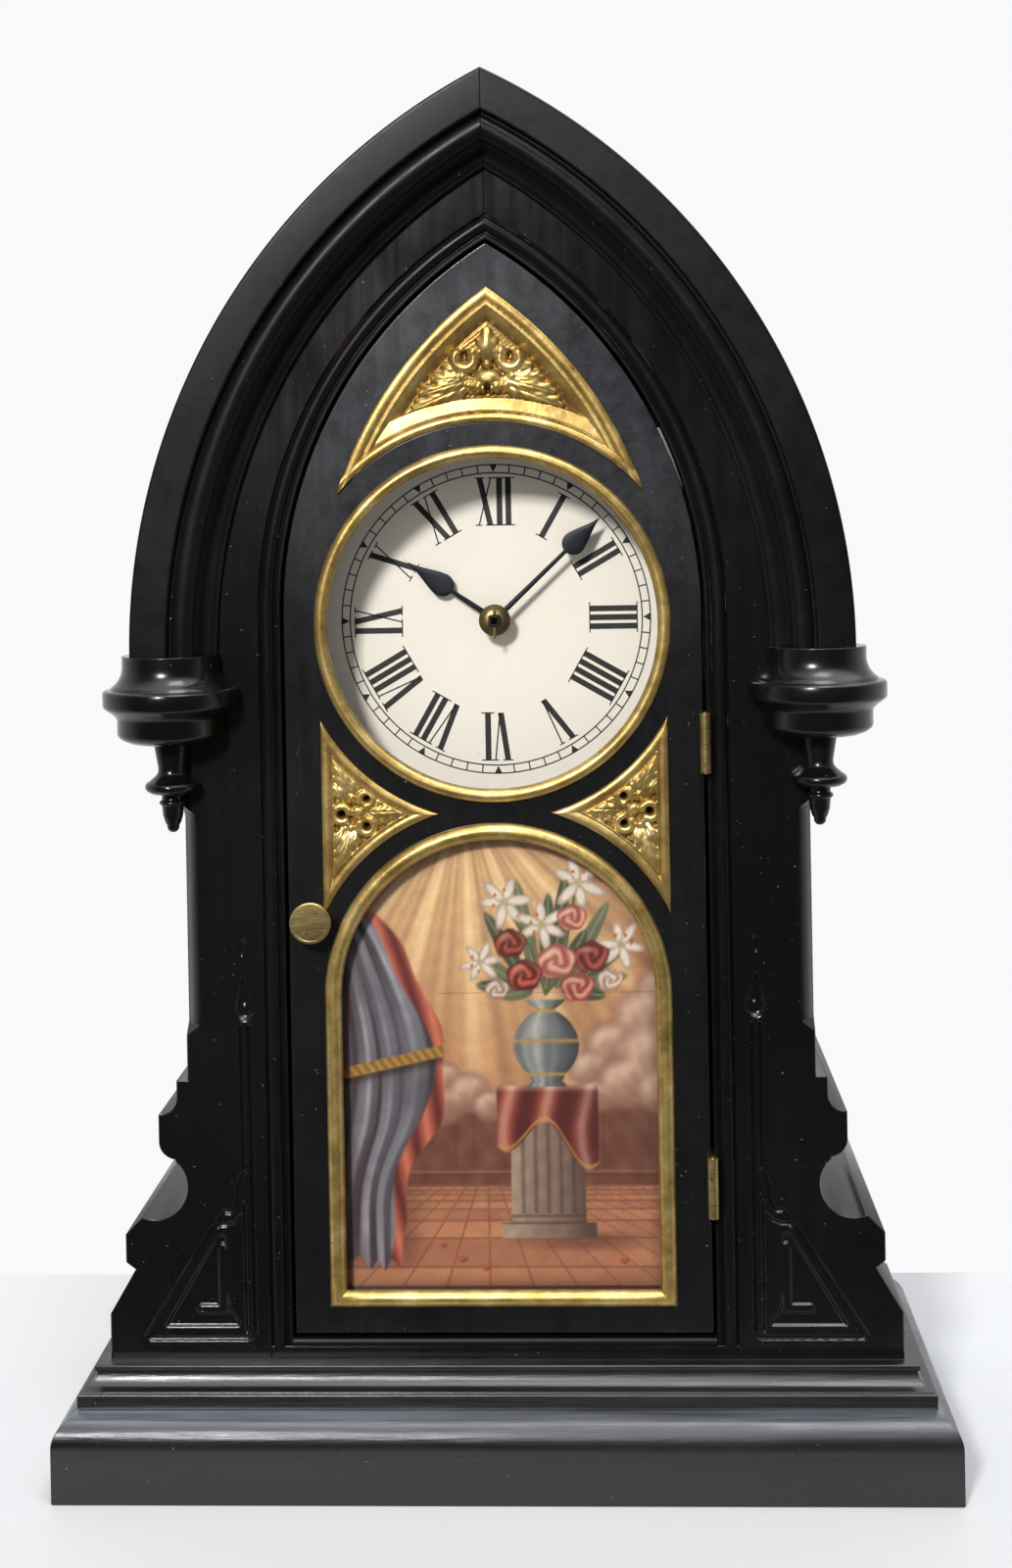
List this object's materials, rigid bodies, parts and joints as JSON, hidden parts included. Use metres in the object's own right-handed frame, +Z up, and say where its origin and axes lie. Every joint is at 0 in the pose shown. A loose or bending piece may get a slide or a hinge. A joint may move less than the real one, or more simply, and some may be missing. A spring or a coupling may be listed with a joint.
{
  "type": "shelf clock",
  "caption": "Gothic shelf clock: black pointed-arch case on a stepped plinth, hinged door with a round dial window above a framed picture, striking pendulum movement.",
  "frame": {"origin": "on the table, under the middle of the clock's bounding box", "axes": "+Z up, the dial and the door face -Y, +X to the right as seen from the front"},
  "size_m": [0.381, 0.1716, 0.6008],
  "materials": {
    "ebonised_wood": "ebonised wood under black gloss lacquer, with worn edges",
    "plain_wood": "stained softwood, unlacquered",
    "gilding": "gold leaf over gesso, slightly rubbed",
    "brass": "old lacquered brass",
    "steel": "polished steel",
    "blued_steel": "dark blued steel",
    "dial_paper": "cream paper on a zinc plate",
    "clear_glass": "clear sheet glass",
    "painted_board": "painted picture on board"
  },
  "bodies": {
    "case": {"plinth_front": "ebonised_wood", "plinth_left": "ebonised_wood", "plinth_right": "ebonised_wood", "base_board": "ebonised_wood", "base_moulding_front": "ebonised_wood", "base_moulding_left": "ebonised_wood", "base_moulding_right": "ebonised_wood", "bracket_left": "ebonised_wood", "bracket_right": "ebonised_wood", "case_sides": "ebonised_wood", "front_board_left": "ebonised_wood", "front_board_right": "ebonised_wood", "sill": "ebonised_wood", "door_bead": "ebonised_wood", "hood_left": "ebonised_wood", "hood_right": "ebonised_wood", "roof_boards": "ebonised_wood", "drop_left": "ebonised_wood", "drop_right": "ebonised_wood", "back_board": "plain_wood", "dial_rails": "plain_wood", "dial_plate": "dial_paper", "hinge_case_leaves": "brass", "hinge_pins": "brass", "front_plate": "brass", "back_plate": "brass", "plate_pillars": "brass", "bell": "brass", "bell_stand": "steel", "suspension_cock": "brass"},
    "door": {"door_frame": "ebonised_wood", "dial_bezel": "gilding", "dial_glass": "clear_glass", "top_spandrel": "gilding", "spandrel_left": "gilding", "spandrel_right": "gilding", "picture_bead": "gilding", "picture_glass": "clear_glass", "picture_panel": "painted_board", "hinge_door_leaves": "brass"},
    "knob": {"door_knob": "brass", "turn_catch": "brass"},
    "minute_arbor": {"centre_wheel": "brass", "minute_hand": "blued_steel", "hand_collet": "brass"},
    "hour_pipe": {"hour_wheel": "brass", "hour_hand": "blued_steel"},
    "minute_wheel": {"minute_wheel": "brass"},
    "third_wheel": {"third_wheel": "brass"},
    "escape_wheel": {"escape_wheel": "brass"},
    "time_barrel": {"time_barrel": "brass"},
    "time_winding": {"time_winding_arbor": "steel"},
    "anchor": {"anchor": "steel"},
    "pendulum": {"pendulum_rod": "steel", "pendulum_bob": "brass"},
    "strike_barrel": {"strike_barrel": "brass"},
    "strike_winding": {"strike_winding_arbor": "steel"},
    "strike_wheel": {"strike_wheel": "brass"},
    "fly": {"fly": "brass"},
    "hammer": {"hammer": "steel"}
  },
  "joints": [
    {"name": "door_hinge", "type": "hinge", "parent": "case", "child": "door", "pos_m": [0.0903, -0.0547, 0.2192], "axis": [0, 0, 1], "range_deg": [0, 110]},
    {"name": "knob_turn", "type": "hinge", "parent": "door", "child": "knob", "pos_m": [-0.0789, -0.0522, 0.2407], "axis": [0, 1, 0], "range_deg": [-90, 0]},
    {"name": "minute_hand_turn", "type": "hinge", "parent": "case", "child": "minute_arbor", "pos_m": [0, 0, 0.366], "axis": [0, 1, 0], "continuous": true},
    {"name": "hour_hand_turn", "type": "hinge", "parent": "case", "child": "hour_pipe", "pos_m": [0, 0, 0.366], "axis": [0, 1, 0], "continuous": true},
    {"name": "minute_wheel_turn", "type": "hinge", "parent": "case", "child": "minute_wheel", "pos_m": [-0.01128, 0, 0.3619], "axis": [0, 1, 0], "continuous": true},
    {"name": "third_wheel_turn", "type": "hinge", "parent": "case", "child": "third_wheel", "pos_m": [0.01, 0, 0.38332], "axis": [0, 1, 0], "continuous": true},
    {"name": "escape_wheel_turn", "type": "hinge", "parent": "case", "child": "escape_wheel", "pos_m": [0.00001, 0, 0.3983], "axis": [0, 1, 0], "continuous": true},
    {"name": "time_barrel_turn", "type": "hinge", "parent": "case", "child": "time_barrel", "pos_m": [0.02472, 0, 0.35285], "axis": [0, 1, 0], "continuous": true},
    {"name": "time_winding_turn", "type": "hinge", "parent": "case", "child": "time_winding", "pos_m": [0.02472, 0, 0.35285], "axis": [0, 1, 0], "range_deg": [-1620, 0]},
    {"name": "pendulum_swing", "type": "hinge", "parent": "case", "child": "pendulum", "pos_m": [0, 0, 0.4205], "axis": [0, 1, 0], "range_deg": [-3.5, 3.5]},
    {"name": "anchor_rock", "type": "hinge", "parent": "case", "child": "anchor", "pos_m": [0, 0, 0.4205], "axis": [0, 1, 0], "range_deg": [-3.5, 3.5]},
    {"name": "strike_barrel_turn", "type": "hinge", "parent": "case", "child": "strike_barrel", "pos_m": [-0.0275, 0, 0.341], "axis": [0, 1, 0], "continuous": true},
    {"name": "strike_winding_turn", "type": "hinge", "parent": "case", "child": "strike_winding", "pos_m": [-0.0275, 0, 0.341], "axis": [0, 1, 0], "range_deg": [-1620, 0]},
    {"name": "strike_wheel_turn", "type": "hinge", "parent": "case", "child": "strike_wheel", "pos_m": [-0.02987, 0, 0.3681], "axis": [0, 1, 0], "continuous": true},
    {"name": "fly_turn", "type": "hinge", "parent": "case", "child": "fly", "pos_m": [-0.02692, 0, 0.38484], "axis": [0, 1, 0], "continuous": true},
    {"name": "hammer_lift", "type": "hinge", "parent": "case", "child": "hammer", "pos_m": [-0.044, 0, 0.318], "axis": [0, 1, 0], "range_deg": [0, 10]}
  ],
  "couplings": [
    {"joint": "hour_hand_turn", "follows": "minute_hand_turn", "ratio": 0.083333},
    {"joint": "minute_wheel_turn", "follows": "minute_hand_turn", "ratio": -0.33333},
    {"joint": "third_wheel_turn", "follows": "minute_hand_turn", "ratio": -9},
    {"joint": "escape_wheel_turn", "follows": "minute_hand_turn", "ratio": 81},
    {"joint": "time_barrel_turn", "follows": "minute_hand_turn", "ratio": -0.16667},
    {"joint": "anchor_rock", "follows": "pendulum_swing", "ratio": 1},
    {"joint": "strike_wheel_turn", "follows": "strike_barrel_turn", "ratio": -7.5},
    {"joint": "fly_turn", "follows": "strike_barrel_turn", "ratio": 56.25}
  ]
}
